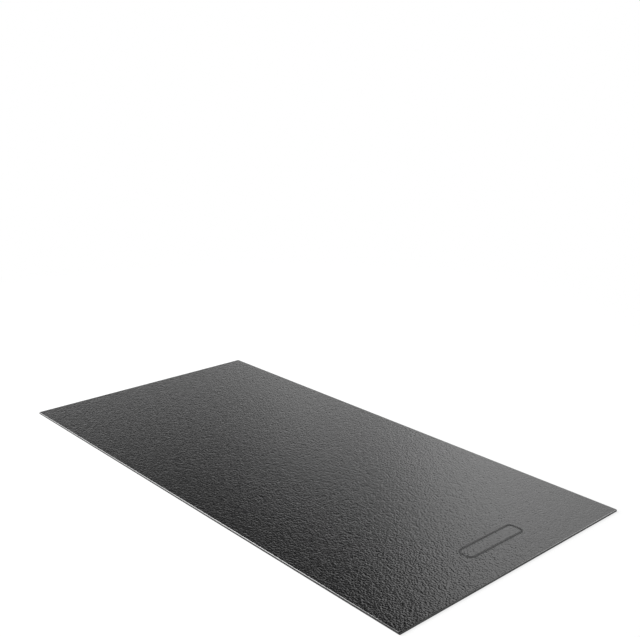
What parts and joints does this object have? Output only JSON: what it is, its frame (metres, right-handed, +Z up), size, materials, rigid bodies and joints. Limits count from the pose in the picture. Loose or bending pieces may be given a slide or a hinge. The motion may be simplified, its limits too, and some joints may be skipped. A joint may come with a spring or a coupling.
{
  "type": "bike trainer mat",
  "caption": "Thick black rectangular floor mat with a pebbled non-slip top and a rounded top edge, laid under a bike trainer to protect the floor and damp vibration.",
  "frame": {"origin": "on the ground, under the middle of the mat", "axes": "+X along the mat's length, towards the end with the blank label outline; +Y across its width; +Z up, out of the grained top"},
  "size_m": [1.8288, 0.9144, 0.0063],
  "materials": {
    "black_rubber": "pebble-grain emboss on top, half-matt, plain on the underside"
  },
  "bodies": {
    "root": {"mat": "black_rubber"}
  },
  "joints": []
}
